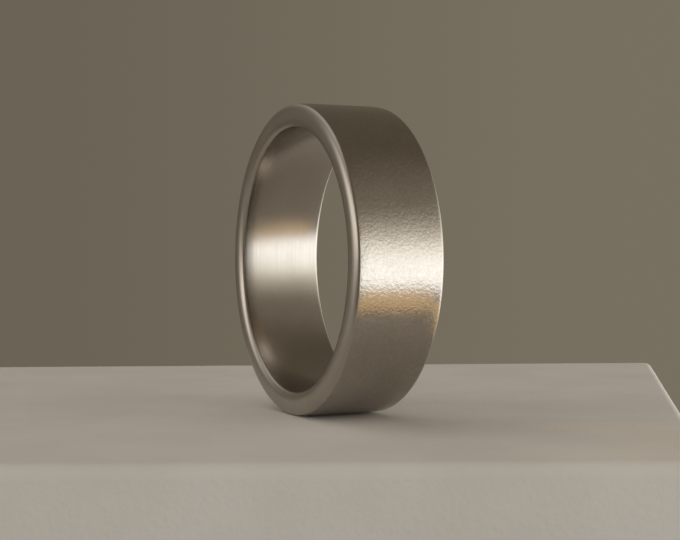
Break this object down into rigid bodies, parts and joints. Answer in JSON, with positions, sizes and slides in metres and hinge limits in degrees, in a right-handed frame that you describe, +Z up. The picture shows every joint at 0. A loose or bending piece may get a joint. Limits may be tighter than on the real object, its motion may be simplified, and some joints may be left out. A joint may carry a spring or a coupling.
{
  "type": "wedding band",
  "caption": "Plain flat-profile wedding band in matt grey metal, with a straight bore, flat side faces and softly rounded edges, standing on its rim.",
  "frame": {"origin": "centre of the bore, halfway between the two side faces, which is the centre of the bounding box", "axes": "+Y along the ring's axis; +Z up, with the ring standing on its rim at the lowest Z; +X to the side, across the rim"},
  "size_m": [0.02, 0.006, 0.02],
  "materials": {
    "matt_metal": "sandblasted outside, satin side faces and bore"
  },
  "bodies": {
    "root": {"band": "matt_metal"}
  },
  "joints": []
}
